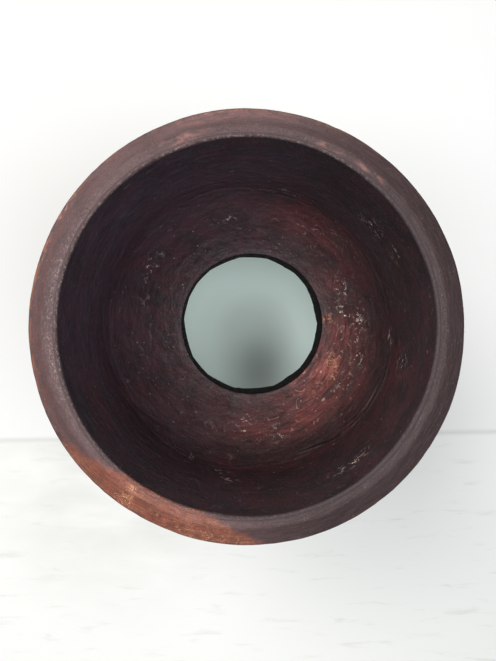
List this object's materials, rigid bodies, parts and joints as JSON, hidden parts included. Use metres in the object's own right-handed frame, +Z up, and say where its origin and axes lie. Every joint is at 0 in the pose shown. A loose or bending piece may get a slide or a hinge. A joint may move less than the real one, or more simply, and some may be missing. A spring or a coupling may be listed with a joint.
{
  "type": "goblet drum shell",
  "caption": "Goblet drum shell carved from one hardwood log: wide bevelled mouth, deep round bowl, straight throat, narrow waist and flared hollow foot, without a skin.",
  "frame": {"origin": "centre of the foot's flat face, on the drum's axis", "axes": "+Z up the drum's axis, from the foot to the mouth"},
  "size_m": [0.28, 0.28, 0.44],
  "materials": {
    "stained_hardwood": "dark stained, hand carved, worn satin"
  },
  "bodies": {
    "root": {"mouth_rim": "stained_hardwood", "bowl": "stained_hardwood", "throat": "stained_hardwood", "foot": "stained_hardwood"}
  },
  "joints": []
}
